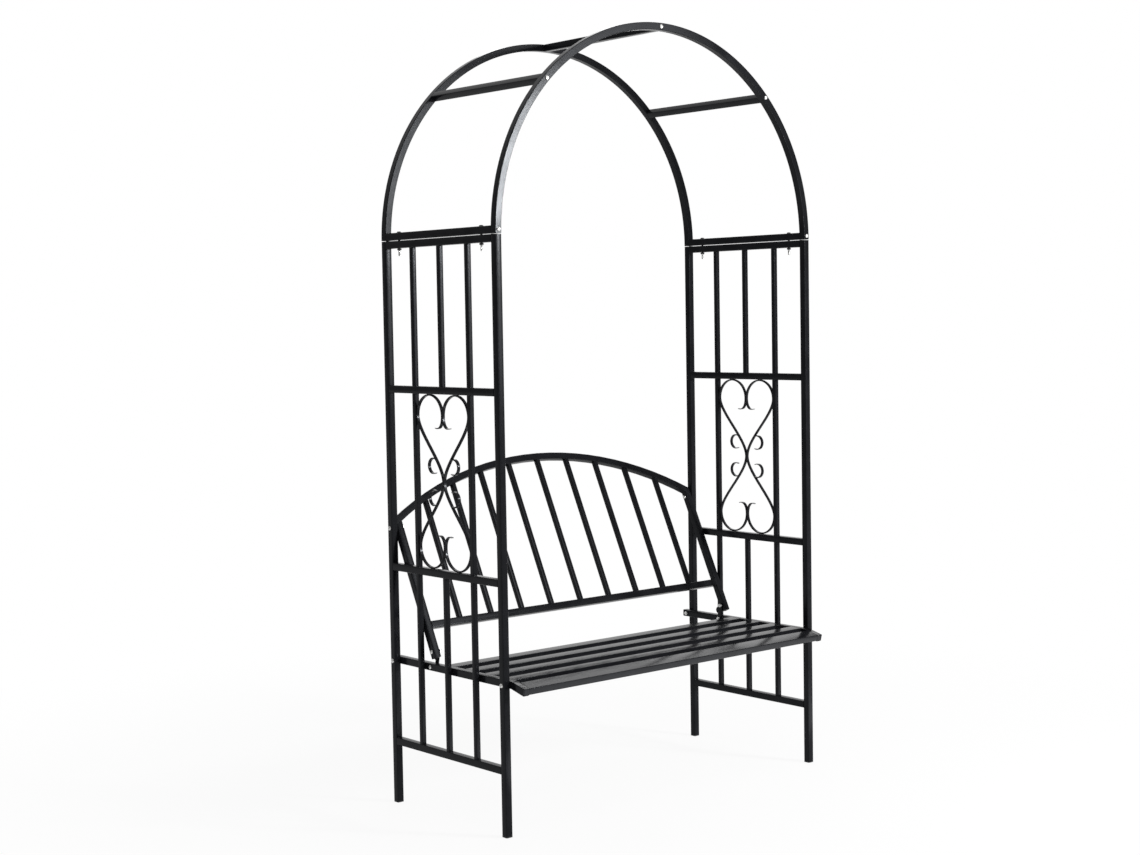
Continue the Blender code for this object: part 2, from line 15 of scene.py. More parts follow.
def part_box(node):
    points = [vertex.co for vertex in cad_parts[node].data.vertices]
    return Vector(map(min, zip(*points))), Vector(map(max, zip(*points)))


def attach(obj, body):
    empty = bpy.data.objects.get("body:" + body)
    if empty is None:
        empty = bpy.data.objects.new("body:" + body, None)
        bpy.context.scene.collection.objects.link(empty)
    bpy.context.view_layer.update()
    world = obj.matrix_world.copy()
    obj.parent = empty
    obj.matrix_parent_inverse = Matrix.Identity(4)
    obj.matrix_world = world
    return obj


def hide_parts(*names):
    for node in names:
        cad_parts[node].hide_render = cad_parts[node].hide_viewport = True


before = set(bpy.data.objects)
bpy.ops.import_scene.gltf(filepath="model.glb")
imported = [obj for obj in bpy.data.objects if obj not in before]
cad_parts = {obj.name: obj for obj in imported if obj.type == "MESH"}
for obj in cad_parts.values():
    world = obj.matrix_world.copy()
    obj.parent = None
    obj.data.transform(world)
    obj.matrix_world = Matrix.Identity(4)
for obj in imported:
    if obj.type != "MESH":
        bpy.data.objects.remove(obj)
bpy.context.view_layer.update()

X = Vector((1, 0, 0))
Y = Vector((0, 1, 0))
Z = Vector((0, 0, 1))
SIDES = ("left", "right")
ENDS = ("front", "back")
BOTH_WAYS = (-1, 1)

# Stock tubes and the gap between pieces
TUBE = 0.019
TUBE_WALL = 0.001
TUBE_CORNER = 0.0016
BAR = 0.013
BAR_WALL = 0.0009
BAR_CORNER = 0.0012
BORE_CORNER = 0.0006
GAP = 0.0003

# Shading of the tubes' corners
JOIN_WITHIN = 0.00001
FLAT_WITHIN = radians(1.5)
PACKED_SHARP_FROM = radians(50)
NEW_SHARP_FROM = radians(38)

# Screws: the head's profile is a share of its radius and of its height above the seat
HEAD_RADIUS = 0.0056
HEAD_HEIGHT = 0.0034
HEAD_SIDES = 32
HEAD_PROFILE = ((0.02, 1.00), (0.30, 0.995), (0.55, 0.955), (0.76, 0.865), (0.90, 0.71),
                (0.97, 0.50), (1.00, 0.24), (1.00, 0.10), (0.97, 0.0))
RECESS_ARM = 0.00062
RECESS_REACH = 0.0029
RECESS_DEPTH = 0.0021
RECESS_MOUTH_SHARE = 1.06
RECESS_FLOOR_SHARE = 0.34
PUNCH_OVER = 0.0008
SHANK_RADIUS = 0.003
SHANK_SIDES = 16
SHANK_IN_HEAD = 0.0002
SHANK_LEAST = 0.004
CORE_RADIUS = SHANK_RADIUS * 0.87
CORE_STEP = 0.0004
POINT_LENGTH = 0.0006
POINT_SHARE = 0.82
THREAD_LENGTH = 0.026
THREAD_PITCH = 0.001
THREAD_ROOT = SHANK_RADIUS * 0.84
THREAD_FLANK = THREAD_PITCH * 0.42
THREAD_LAND = THREAD_PITCH * 0.06
THREAD_LIFT = 0.00002
THREAD_FADE = 6
SCREW_SPIN = radians(37)

# Nuts, and how far under the head's seat each one sits
NUT_RADIUS = 0.00577
NUT_FLATS = NUT_RADIUS * cos(pi / 6)
NUT_HEIGHT = 0.005
NUT_CHAMFER = 0.0006
NUT_SIDES = 48
NUT_SEATS = {"back_seat_bolt": 0.0389, "backrest_bolt": 0.0389, "strap_upper_bolt": 0.0229,
             "strap_lower_bolt": 0.0229, "foot_rail_bolt": 0.0404}

# Arches
POST_X = 0.544
ARCH_BASE_Z = 1.4718
ARCH_RISE = 0.537
ARCH_STEPS = 144
CROSS_BAR_ANGLES = (radians(45), radians(90), radians(135))
DRILL_REACH = 0.012

# Scrollwork of flat strip, in places across and up from the middle of a panel
STRIP_WIDTH = 0.008
STRIP_THICKNESS = 0.004
STRIP_CORNER = 0.0007
STRIP_CORNER_STEPS = 3
STRIP_TOUCH = 0.00175
STRIP_TOUCH_DEPTH = 0.0005
STRIP_SIDE_PULL = 0.045
STRIP_PINCH_PULL = 0.049
STRIP_TIP_OUT = 0.0285
STRIP_TIP_DROP = 0.0305
STRIP_TIP_PULL = 0.016
STRIP_TIP_DIP = 0.005
STRIP_TAPER_LENGTH = 0.022
STRIP_TIP_SHARE = 0.35
HOOK_STEPS = 28
LOOP_STEPS = 48
RUN_STEPS = 36
CURL_RADIUS = 0.0195
CURL_MEETS_UP = 0.0550
CURL_MEET_ANGLE = radians(132)
CURL_FREE_ANGLE = radians(-116)
CURL_STEPS = 44

# The leaning plane of the backrest, and the drooping nose of the seat rails
LEAN = radians(25.5)
BACKREST_FOOT = Vector((0, 0.065125, 0.400))
BACKREST_UP = Vector((0, sin(LEAN), cos(LEAN)))
BACKREST_REAR = Vector((0, cos(LEAN), -sin(LEAN)))
BACKREST_PEAK = 0.524
BACKREST_RADIUS = 1.030
BACKREST_RAIL_UP = 0.087
BACKREST_BARS = 9
NOSE_PITCH = radians(14)
NOSE_ALONG = Vector((0, -cos(NOSE_PITCH), -sin(NOSE_PITCH)))
NOSE_END = Vector((0, -0.30039, 0.363404))
FLAT_SLATS = 4

# Weld beads: their ripple and wander are shares of the radius
BEAD_RADIUS = 0.0011
BEAD_SIDES = 8
BEAD_STEP = 0.0007
BEAD_LEAST_STEPS = 6
BEAD_END_LENGTH = BEAD_RADIUS * 1.3
BEAD_END_SHARE = 0.25
RIPPLE_PITCH = 0.0021
RIPPLE = 0.10
WANDER = 0.20
TACK_IN_SHARE = 0.46
PINCH_TACK = 0.005
HOOK_TACK = 0.006
BAR_TACK = 0.005
RAIL_TACK = 0.004

# Plugs: the profile is a distance out of the tube's end and a share of the bore's half width
PLUG_SLACK = 0.0001
PLUG_SIDES = 24
PLUG_CORNER_SHARE = 1.30
PLUG_PROFILE = ((-0.011, 0.90), (-0.0095, 0.98), (-0.0080, 0.90), (-0.0055, 0.98),
                (-0.0040, 0.92), (-0.0020, 1.0), (-0.0003, 1.0), (0.0, 0.97),
                (0.0002, 0.90), (0.0003, 0.55))

# Finishes
BLACK_COAT = (0.0060, 0.0062, 0.0074, 1)
GREY_COAT = (0.0150, 0.0155, 0.0180, 1)
COOL_SHINE = (0.90, 0.94, 1.0, 1)
ZINC = (0.66, 0.66, 0.65, 1)
DULL_ZINC = (0.42, 0.42, 0.41, 1)
BLACK_STEEL = (0.020, 0.020, 0.021, 1)
PLUG_BLACK = (0.012, 0.012, 0.013, 1)
FLOOR_PAINT = (0.86, 0.86, 0.86, 1)
WHITE = (1, 1, 1, 1)

# The photograph's camera, solved from the edges of the frame
CAMERA_PLACE = (-3.28023, -3.72600, 1.27058)
CAMERA_YAW = 0.7037628
CAMERA_PITCH = 0.0606532
CAMERA_ROLL = 0.0167608
FOCAL_PIXELS = 1837.3157
PICTURE_WIDTH = 1140
SENSOR_WIDTH = 36.0

# Floor and room
FLOOR_RADIUS = 14.0
FLOOR_THICKNESS = 0.02
FLOOR_SIDES = 64
SHADOW_REACH = (0.5, 2.5)
FLOOR_GLOW = (0.90, 1.0)
BACKDROP_WAY = (0.58, 0.68, 0.45)
COVE_EDGE = (0.15, 0.65)
COVE_GLOW = (0.35, 1.0)
EVEN_LIGHT = 0.45

# Lamps: name, place, aim, width, height and watts
LAMPS = (
    ("right_softbox", (1.95, -3.45, 1.60), (-0.5, -0.2, 1.1), 0.9, 1.4, 24),
    ("leg_strip", (2.00, -3.50, 1.97), (-0.5, -0.2, 1.6), 0.36, 0.50, 100),
    ("leg_glow", (2.00, -3.50, 2.02), (-0.5, -0.2, 1.6), 0.36, 0.62, 20),
    ("backrest_softbox", (1.45, -2.15, 2.35), (-0.4, 0.1, 0.6), 0.7, 0.7, 9),
    ("back_softbox", (2.9, 2.8, 2.9), (0, 0, 0.4), 2.4, 1.8, 28),
    ("top_light", (-0.4, -1.2, 3.4), (0, 0, 0.6), 1.8, 1.2, 15),
    ("bounce_board", (0.45, -0.70, 0.01), (0.45, -0.70, 1.0), 1.4, 0.4, 5),
)


# Shader groups

def effect_group(name, inputs, outputs):
    """An empty shader group with named inputs and outputs."""
    group = bpy.data.node_groups.new(name, "ShaderNodeTree")
    for label, kind, value in inputs:
        socket = group.interface.new_socket(label, in_out="INPUT", socket_type=kind)
        if value is not None:
            socket.default_value = value
    for label, kind in outputs:
        group.interface.new_socket(label, in_out="OUTPUT", socket_type=kind)
    source = group.nodes.new("NodeGroupInput")
    result = group.nodes.new("NodeGroupOutput")
    return group, source.outputs, result.inputs


def place(tree, kind, **settings):
    """A node with its settings and its unlinked input values."""
    node = tree.nodes.new(kind)
    values = settings.pop("values", {})
    for key, value in settings.items():
        setattr(node, key, value)
    for key, value in values.items():
        node.inputs[key].default_value = value
    return node


def ramp(tree, source, span, onto=(0.0, 1.0)):
    """Map a span of one value smoothly onto another span."""
    node = place(tree, "ShaderNodeMapRange", interpolation_type="SMOOTHSTEP",
                 values={"From Min": span[0], "From Max": span[1],
                         "To Min": onto[0], "To Max": onto[1]})
    tree.links.new(source, node.inputs["Value"])
    return node.outputs["Result"]


def combine(tree, operation, first, second):
    """Join two values, each a socket or a number."""
    node = place(tree, "ShaderNodeMath", operation=operation)
    for i, term in enumerate((first, second)):
        if hasattr(term, "links"):
            tree.links.new(term, node.inputs[i])
        else:
            node.inputs[i].default_value = term
    return node.outputs[0]


def times(tree, first, second):
    """Multiply two values, each a socket or a number."""
    return combine(tree, "MULTIPLY", first, second)


def noise_field(tree, where, scale, detail=2.0, roughness=0.5):
    """Noise in the piece's own space, its scale a socket or a number."""
    node = place(tree, "ShaderNodeTexNoise",
                 values={"Detail": detail, "Roughness": roughness})
    if hasattr(scale, "links"):
        tree.links.new(scale, node.inputs["Scale"])
    else:
        node.inputs["Scale"].default_value = scale
    tree.links.new(where, node.inputs["Vector"])
    return node.outputs["Fac"]


def orange_peel_group():
    """Fine dimples of a baked coat with slow waves under them, and broad clouds in its gloss."""
    group, given, result = effect_group(
        "orange_peel",
        [("Vector", "NodeSocketVector", None), ("Scale", "NodeSocketFloat", 700.0)],
        [("Height", "NodeSocketFloat"), ("Cloud", "NodeSocketFloat")])
    where, scale = given["Vector"], given["Scale"]
    dimples = noise_field(group, where, scale, detail=3.0, roughness=0.55)
    waves = noise_field(group, where, times(group, scale, 0.22))
    cloud = noise_field(group, where, times(group, scale, 0.02), detail=4.0, roughness=0.6)
    height = combine(group, "ADD", dimples, times(group, waves, 1.6))
    group.links.new(height, result["Height"])
    group.links.new(cloud, result["Cloud"])
    return group


def edge_wear_group():
    """Mask of the outer corners of a piece, broken up by grain."""
    group, given, result = effect_group(
        "edge_wear",
        [("Vector", "NodeSocketVector", None), ("Width", "NodeSocketFloat", 0.001),
         ("Grain", "NodeSocketFloat", 160.0)],
        [("Mask", "NodeSocketFloat")])
    soft = place(group, "ShaderNodeBevel", samples=4)
    group.links.new(given["Width"], soft.inputs["Radius"])
    plain = place(group, "ShaderNodeNewGeometry")
    turn = place(group, "ShaderNodeVectorMath", operation="DOT_PRODUCT")
    group.links.new(soft.outputs["Normal"], turn.inputs[0])
    group.links.new(plain.outputs["Normal"], turn.inputs[1])
    bent = combine(group, "SUBTRACT", 1.0, turn.outputs["Value"])
    corner = ramp(group, bent, (0.01, 0.10))
    grain = noise_field(group, given["Vector"], given["Grain"], detail=4.0, roughness=0.65)
    patchy = ramp(group, grain, (0.42, 0.62))
    group.links.new(times(group, corner, patchy), result["Mask"])
    return group


def handling_marks_group():
    """Faint smears and specks that change how sharply a surface shines."""
    group, given, result = effect_group(
        "handling_marks",
        [("Vector", "NodeSocketVector", None), ("Scale", "NodeSocketFloat", 9.0)],
        [("Smear", "NodeSocketFloat"), ("Speck", "NodeSocketFloat")])
    where, scale = given["Vector"], given["Scale"]
    smear = noise_field(group, where, scale, detail=5.0, roughness=0.6)
    speck = noise_field(group, where, times(group, scale, 55.0), detail=1.0)
    group.links.new(ramp(group, smear, (0.35, 0.70)), result["Smear"])
    group.links.new(ramp(group, speck, (0.68, 0.76)), result["Speck"])
    return group


ORANGE_PEEL = orange_peel_group()
EDGE_WEAR = edge_wear_group()
HANDLING_MARKS = handling_marks_group()


# Materials

def grouped(tree, group, where, **values):
    """A shader group placed with this material's own values; returns its outputs."""
    node = place(tree, "ShaderNodeGroup", node_tree=group, values=values)
    tree.links.new(where, node.inputs["Vector"])
    return node.outputs


# The colour sockets of a Mix node, by number since its number and vector ones share their names
MIX_COLOURS = (6, 7)
MIXED_COLOUR = 2


def mixed(tree, factor, first, second):
    """A colour between two, each a socket or a colour."""
    node = place(tree, "ShaderNodeMix", data_type="RGBA")
    tree.links.new(factor, node.inputs["Factor"])
    for key, colour in zip(MIX_COLOURS, (first, second)):
        if hasattr(colour, "links"):
            tree.links.new(colour, node.inputs[key])
        else:
            node.inputs[key].default_value = colour
    return node.outputs[MIXED_COLOUR]


def new_material(name, metallic, shine):
    """A material with its shader, its piece's own coordinates and its even settings."""
    material = bpy.data.materials.new(name)
    material.use_nodes = True
    tree = material.node_tree
    shader = tree.nodes["Principled BSDF"]
    shader.inputs["Metallic"].default_value = metallic
    shader.inputs["Specular IOR Level"].default_value = shine
    where = place(tree, "ShaderNodeTexCoord").outputs["Object"]
    return material, tree, shader, where


def raise_surface(tree, shader, height, depth, strength):
    """Fine relief of a given depth on the shader's normal."""
    bump = place(tree, "ShaderNodeBump", values={"Strength": strength, "Distance": depth})
    tree.links.new(height, bump.inputs["Height"])
    tree.links.new(bump.outputs["Normal"], shader.inputs["Normal"])


def powder_coat(name, base, thin, roughness, peel_depth, shine):
    """Baked black powder: orange peel, cloudy gloss, and a thinner, paler film on corners."""
    material, tree, shader, where = new_material(name, metallic=0.0, shine=shine)
    shader.inputs["Specular Tint"].default_value = COOL_SHINE
    peel = grouped(tree, ORANGE_PEEL, where, Scale=760.0)
    wear = grouped(tree, EDGE_WEAR, where, Width=0.0011, Grain=170.0)
    marks = grouped(tree, HANDLING_MARKS, where, Scale=7.0)
    colour = mixed(tree, ramp(tree, peel["Cloud"], (0.3, 0.7), (0.0, 0.35)), base, thin)
    colour = mixed(tree, times(tree, wear["Mask"], 0.55), colour, thin)
    colour = mixed(tree, times(tree, marks["Speck"], 0.30), colour, thin)
    tree.links.new(colour, shader.inputs["Base Color"])
    gloss = combine(tree, "ADD", roughness - 0.04, times(tree, peel["Cloud"], 0.10))
    gloss = combine(tree, "ADD", gloss, times(tree, marks["Smear"], 0.05))
    tree.links.new(gloss, shader.inputs["Roughness"])
    raise_surface(tree, shader, peel["Height"], depth=peel_depth, strength=0.5)
    return material


def plated_steel(name, bright, dull, roughness, metallic=1.0):
    """Thin plating on a pressed screw: fine grain, dull bloom and bright corners."""
    material, tree, shader, where = new_material(name, metallic, shine=0.5)
    wear = grouped(tree, EDGE_WEAR, where, Width=0.0005, Grain=900.0)
    marks = grouped(tree, HANDLING_MARKS, where, Scale=260.0)
    grain = noise_field(tree, where, 2600.0, detail=3.0, roughness=0.6)
    colour = mixed(tree, times(tree, marks["Smear"], 0.7), bright, dull)
    colour = mixed(tree, wear["Mask"], colour, bright)
    tree.links.new(colour, shader.inputs["Base Color"])
    gloss = combine(tree, "ADD", roughness, times(tree, marks["Smear"], 0.16))
    gloss = combine(tree, "SUBTRACT", gloss, times(tree, wear["Mask"], 0.08))
    tree.links.new(gloss, shader.inputs["Roughness"])
    raise_surface(tree, shader, grain, depth=0.00004, strength=0.35)
    return material


def moulded_plastic(name, base, pale):
    """Spark-textured black plastic with scuffed corners."""
    material, tree, shader, where = new_material(name, metallic=0.0, shine=0.35)
    wear = grouped(tree, EDGE_WEAR, where, Width=0.0008, Grain=420.0)
    marks = grouped(tree, HANDLING_MARKS, where, Scale=60.0)
    texture = noise_field(tree, where, 2400.0, roughness=0.6)
    colour = mixed(tree, times(tree, wear["Mask"], 0.6), base, pale)
    colour = mixed(tree, times(tree, marks["Smear"], 0.25), colour, pale)
    tree.links.new(colour, shader.inputs["Base Color"])
    gloss = combine(tree, "ADD", 0.52, times(tree, texture, 0.18))
    tree.links.new(gloss, shader.inputs["Roughness"])
    raise_surface(tree, shader, texture, depth=0.00012, strength=0.5)
    return material


COAT = powder_coat("black_powder_coat", BLACK_COAT, GREY_COAT,
                   roughness=0.15, peel_depth=0.000022, shine=0.08)
WELD_COAT = powder_coat("coat_over_weld", BLACK_COAT, GREY_COAT,
                        roughness=0.24, peel_depth=0.00006, shine=0.10)
ZINC_PLATE = plated_steel("zinc_plate", ZINC, DULL_ZINC, roughness=0.24)
BLACK_PLATE = plated_steel("blackened_steel", BLACK_STEEL, GREY_COAT, roughness=0.38, metallic=0.4)
PLUG_PLASTIC = moulded_plastic("moulded_plug", PLUG_BLACK, GREY_COAT)


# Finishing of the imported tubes

def smooth_by_angle_group():
    """Modifier group: smooth faces, with edges sharper than an angle kept crisp."""
    group = bpy.data.node_groups.new("smooth_by_angle", "GeometryNodeTree")
    group.interface.new_socket("Geometry", in_out="INPUT", socket_type="NodeSocketGeometry")
    group.interface.new_socket("Geometry", in_out="OUTPUT", socket_type="NodeSocketGeometry")
    source = group.nodes.new("NodeGroupInput")
    result = group.nodes.new("NodeGroupOutput")
    angle = group.nodes.new("GeometryNodeInputMeshEdgeAngle")
    sharp = place(group, "FunctionNodeCompare", data_type="FLOAT", operation="GREATER_THAN")
    sharp.inputs["B"].default_value = PACKED_SHARP_FROM
    faces = place(group, "GeometryNodeSetShadeSmooth", domain="FACE")
    edges = place(group, "GeometryNodeSetShadeSmooth", domain="EDGE")
    edges.inputs["Shade Smooth"].default_value = False
    group.links.new(source.outputs[0], faces.inputs["Geometry"])
    group.links.new(faces.outputs[0], edges.inputs["Geometry"])
    group.links.new(angle.outputs["Unsigned Angle"], sharp.inputs["A"])
    group.links.new(sharp.outputs["Result"], edges.inputs["Selection"])
    group.links.new(edges.outputs[0], result.inputs[0])
    return group


SMOOTH_BY_ANGLE = smooth_by_angle_group()


def ease_edges(piece):
    """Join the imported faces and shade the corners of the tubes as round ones."""
    join = piece.modifiers.new("join", "WELD")
    join.merge_threshold = JOIN_WITHIN
    flat = piece.modifiers.new("flat", "DECIMATE")
    flat.decimate_type = "DISSOLVE"
    flat.angle_limit = FLAT_WITHIN
    flat.use_dissolve_boundaries = False
    smooth = piece.modifiers.new("smooth", "NODES")
    smooth.node_group = SMOOTH_BY_ANGLE
    level = piece.modifiers.new("level", "WEIGHTED_NORMAL")
    level.keep_sharp = True


def finish_packed_pieces():
    """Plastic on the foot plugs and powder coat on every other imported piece."""
    for name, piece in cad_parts.items():
        plug = name.endswith("foot_plug")
        for holder in piece.material_slots:
            holder.material = PLUG_PLASTIC if plug else COAT
        ease_edges(piece)


# New pieces

def add_piece(name, bm, material):
    """A finished bmesh as a piece that rides with the bench."""
    mesh = bpy.data.meshes.new(name)
    bmesh.ops.recalc_face_normals(bm, faces=bm.faces)
    bm.to_mesh(mesh)
    bm.free()
    mesh.materials.append(material)
    mesh.shade_smooth()
    mesh.set_sharp_from_angle(angle=NEW_SHARP_FROM)
    piece = bpy.data.objects.new(name, mesh)
    level = piece.modifiers.new("level", "WEIGHTED_NORMAL")
    level.keep_sharp = True
    bpy.context.scene.collection.objects.link(piece)
    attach(piece, "root")
    return piece


def ring_rows(bm, rings, closed_ends=True):
    """Skin between rings of equal count; returns the rows of points."""
    rows = [[bm.verts.new(point) for point in ring] for ring in rings]
    count = len(rows[0])
    for row, above in zip(rows, rows[1:]):
        for j in range(count):
            bm.faces.new((row[j], row[(j + 1) % count], above[(j + 1) % count], above[j]))
    if closed_ends:
        bm.faces.new(list(reversed(rows[0])))
        bm.faces.new(rows[-1])
    return rows


def circle(radius, height, count):
    """Points of a level circle round the Z axis."""
    return [Vector((radius * cos(2 * pi * j / count), radius * sin(2 * pi * j / count), height))
            for j in range(count)]


# Bent tubes and strips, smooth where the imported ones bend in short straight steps

def rounded(width, depth, corner, steps=4):
    """Outline of a bar with round corners."""
    outline = []
    for quarter, (a, b) in enumerate(((1, 1), (-1, 1), (-1, -1), (1, -1))):
        for k in range(steps + 1):
            angle = pi / 2 * (quarter + k / steps)
            outline.append((a * (width / 2 - corner) + corner * cos(angle),
                            b * (depth / 2 - corner) + corner * sin(angle)))
    return outline


def tube_outlines(width, wall, corner):
    """Outlines of a square tube and of its bore."""
    inside = width - 2 * wall
    return rounded(width, width, corner), rounded(inside, inside, BORE_CORNER)


def sweep_rings(path, side, outline, slim, ends):
    """Rings of an outline along a bent path that lies in the plane square to side."""
    rings = []
    last = len(path) - 1
    for i, point in enumerate(path):
        along = (path[min(i + 1, last)] - path[max(i - 1, 0)]).normalized()
        if ends and i in (0, last):
            along = ends[0] if i == 0 else ends[1]
        out = side.cross(along)
        share = slim[i] if slim else 1
        rings.append([point + side * a + out * (b * share) for a, b in outline])
    return rings


def add_sweep(bm, path, side, outline, bore=None, slim=None, ends=None):
    """A bar swept along a path, or a tube if a bore of as many points is given."""
    rows = ring_rows(bm, sweep_rings(path, side, outline, slim, ends), closed_ends=bore is None)
    if bore is None:
        return
    inner = ring_rows(bm, sweep_rings(path, side, bore, slim, ends), closed_ends=False)
    for ring, hole in ((rows[0], inner[0]), (rows[-1], inner[-1])):
        for j in range(len(ring)):
            bm.faces.new((ring[j - 1], ring[j], hole[j], hole[j - 1]))


def smooth_arches():
    """The two arches, with clearance holes for their screws."""
    outline, bore = tube_outlines(TUBE, TUBE_WALL, TUBE_CORNER)
    around = Matrix.Rotation(pi / 2, 3, "X")
    for end in ENDS:
        name = end + "_arch"
        low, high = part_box(name)
        y = (low.y + high.y) / 2

        def spot(angle):
            return Vector((POST_X * cos(angle), y, ARCH_BASE_Z + ARCH_RISE * sin(angle)))

        path = [spot(pi * i / ARCH_STEPS) for i in range(ARCH_STEPS + 1)]
        bm = bmesh.new()
        add_sweep(bm, path, Y, outline, bore, ends=(Z, -Z))
        bmesh.ops.recalc_face_normals(bm, faces=bm.faces)
        holes = [spot(angle) for angle in CROSS_BAR_ANGLES]
        holes += [Vector((way * POST_X, y, ARCH_BASE_Z + TUBE / 2)) for way in BOTH_WAYS]
        drills = bmesh.new()
        for hole in holes:
            ring_rows(drills, [[hole + around @ point
                                for point in circle(SHANK_RADIUS + GAP, reach, SHANK_SIDES)]
                               for reach in (-DRILL_REACH, DRILL_REACH)])
        bmesh.ops.recalc_face_normals(drills, faces=drills.faces)
        piece = add_piece("smooth_" + name, punched(bm, drills), COAT)
        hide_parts(name)


def curve(points, steps):
    """Points along a cubic curve given by its two ends and two handles."""
    a, b, c, d = [Vector(point) for point in points]
    found = []
    for i in range(steps + 1):
        t = i / steps
        found.append(a * (1 - t) ** 3 + b * 3 * t * (1 - t) ** 2
                     + c * 3 * t * t * (1 - t) + d * t ** 3)
    return found


def strip_path(top, side):
    """One strip from tip to tip, and its run from the bar to the middle."""
    outer = side - STRIP_THICKNESS / 2 + STRIP_TOUCH_DEPTH
    radius = (outer - STRIP_TOUCH) / 2
    level = top - radius
    tip = (STRIP_TOUCH + STRIP_TIP_OUT, level - STRIP_TIP_DROP)
    hook = curve([tip, (tip[0] - STRIP_TIP_PULL, tip[1] - STRIP_TIP_DIP),
                  (STRIP_TOUCH, level - STRIP_TIP_DROP + STRIP_TIP_DIP), (STRIP_TOUCH, level)],
                 HOOK_STEPS)
    loop = [Vector((STRIP_TOUCH + radius - radius * cos(pi * i / LOOP_STEPS),
                    level + radius * sin(pi * i / LOOP_STEPS))) for i in range(1, LOOP_STEPS)]
    run = curve([(outer, level), (outer, level - STRIP_SIDE_PULL),
                 (STRIP_TOUCH, STRIP_PINCH_PULL), (STRIP_TOUCH, 0)], RUN_STEPS)
    upper = hook + loop + run
    return upper + [Vector((p[0], -p[1])) for p in reversed(upper[:-1])], run


def curl_path(run):
    """A small curl, open towards the middle, from its free end to its weld on the strip."""
    meets = min(run, key=lambda spot: abs(spot[1] - CURL_MEETS_UP))
    centre = meets - Vector((cos(CURL_MEET_ANGLE), sin(CURL_MEET_ANGLE))) * CURL_RADIUS
    turn = CURL_MEET_ANGLE - CURL_FREE_ANGLE
    angles = [CURL_FREE_ANGLE + turn * i / CURL_STEPS for i in range(CURL_STEPS + 1)]
    return [centre + Vector((cos(angle), sin(angle))) * CURL_RADIUS for angle in angles]


def tapered(path):
    """Thickness of a strip along its path, as a share: its tips are drawn out thin."""
    lengths = [0.0]
    for first, last in zip(path, path[1:]):
        lengths.append(lengths[-1] + (last - first).length)
    reach = [min(length, lengths[-1] - length) / STRIP_TAPER_LENGTH for length in lengths]
    return [STRIP_TIP_SHARE + (1 - STRIP_TIP_SHARE) * min(1, share) for share in reach]


def panel_places(side):
    """Where a panel stands, the pitch of its bars and the middle heights of its four rails."""
    front, back = [sum(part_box(side + "_" + end + "_post"), Vector()) / 2 for end in ENDS]
    levels = {level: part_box(side + "_" + level + "_rail")[1].z - TUBE / 2
              for level in ("top", "upper", "lower", "bottom")}
    return front.x, (front.y + back.y) / 2, (back.y - front.y) / 4, levels


def smooth_scroll_panel(side):
    """Two bars with two bent strips between them and four small curls."""
    x, mid_y, pitch, levels = panel_places(side)
    mid_z = (levels["upper"] + levels["lower"]) / 2
    clear = (levels["upper"] - levels["lower"]) / 2 - TUBE / 2 - GAP
    strip, run = strip_path(clear - STRIP_THICKNESS / 2, pitch - BAR / 2)
    curl = curl_path(run)
    flat = rounded(STRIP_WIDTH, STRIP_THICKNESS, STRIP_CORNER, STRIP_CORNER_STEPS)
    outline, bore = tube_outlines(BAR, BAR_WALL, BAR_CORNER)
    bm = bmesh.new()
    for way in BOTH_WAYS:
        for path, ups in ((strip, (1,)), (curl, (1, -1))):
            for up in ups:
                add_sweep(bm, [Vector((x, mid_y + way * p[0], mid_z + up * p[1])) for p in path],
                          X, flat, slim=tapered(path))
        y = mid_y + way * pitch
        add_sweep(bm, [Vector((x, y, mid_z - clear)), Vector((x, y, mid_z + clear))], X,
                  outline, bore)
    piece = add_piece("smooth_" + side + "_scroll_panel", bm, COAT)
    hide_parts(side + "_scroll_panel")


# Screws: made once along +Z with the head's seat at zero, the head below and the shank above

def cross_punch():
    """Tapered cross-shaped punch, its wide end above the head."""
    outline = []
    for quarter in range(4):
        turn = Matrix.Rotation(quarter * pi / 2, 3, "Z")
        outline += [turn @ Vector((RECESS_ARM, RECESS_ARM, 0)),
                    turn @ Vector((RECESS_ARM, RECESS_REACH, 0)),
                    turn @ Vector((-RECESS_ARM, RECESS_REACH, 0))]
    bm = bmesh.new()
    ring_rows(bm, [[Vector((p.x * share, p.y * share, height)) for p in outline]
                   for share, height in ((RECESS_MOUTH_SHARE, -HEAD_HEIGHT - PUNCH_OVER),
                                         (RECESS_FLOOR_SHARE, -HEAD_HEIGHT + RECESS_DEPTH))])
    bmesh.ops.recalc_face_normals(bm, faces=bm.faces)
    return bm


def applied(piece):
    """The mesh of a piece with its modifiers worked in."""
    bpy.context.view_layer.update()
    graph = bpy.context.evaluated_depsgraph_get()
    return bpy.data.meshes.new_from_object(piece.evaluated_get(graph))


def punched(bm, cutter_bm):
    """A bmesh less the shape of another."""
    helpers = []
    for name, shape in (("blank", bm), ("punch", cutter_bm)):
        mesh = bpy.data.meshes.new(name)
        shape.to_mesh(mesh)
        shape.free()
        helpers.append(bpy.data.objects.new(name, mesh))
        bpy.context.scene.collection.objects.link(helpers[-1])
    blank, punch = helpers
    cut = blank.modifiers.new("recess", "BOOLEAN")
    cut.operation = "DIFFERENCE"
    cut.solver = "EXACT"
    cut.object = punch
    mesh = applied(blank)
    for helper in helpers:
        bpy.data.objects.remove(helper)
    result = bmesh.new()
    result.from_mesh(mesh)
    bpy.data.meshes.remove(mesh)
    return result


def pan_head():
    """Pan head with a rolled rim, a shallow dome and a cross recess."""
    bm = bmesh.new()
    ring_rows(bm, [circle(share * HEAD_RADIUS, -HEAD_HEIGHT * rise, HEAD_SIDES)
                   for share, rise in HEAD_PROFILE])
    bmesh.ops.recalc_face_normals(bm, faces=bm.faces)
    return punched(bm, cross_punch())


